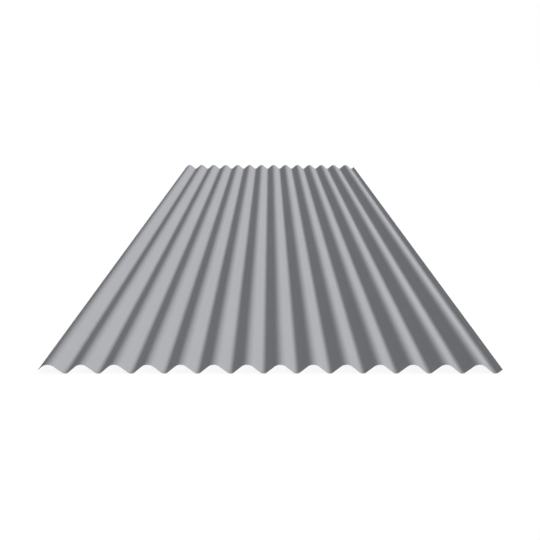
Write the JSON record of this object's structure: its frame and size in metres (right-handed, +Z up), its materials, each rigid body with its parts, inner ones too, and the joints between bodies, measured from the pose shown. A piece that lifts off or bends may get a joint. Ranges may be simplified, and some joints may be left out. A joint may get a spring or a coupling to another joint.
{
  "type": "corrugated metal sheet",
  "caption": "Long grey coated-steel sheet rolled into even rounded waves, with one side edge turned down and the other up to lap onto the next sheet; for roofs, walls and fences.",
  "frame": {"origin": "on the floor under the middle of the sheet", "axes": "+Y along the waves, away from the camera; +X across the waves, from the edge that turns down to the edge that turns up; +Z up"},
  "size_m": [0.9506, 2.438, 0.0206],
  "materials": {
    "coated_steel": "matt grey coil coating"
  },
  "bodies": {
    "root": {"corrugated_sheet": "coated_steel"}
  },
  "joints": []
}
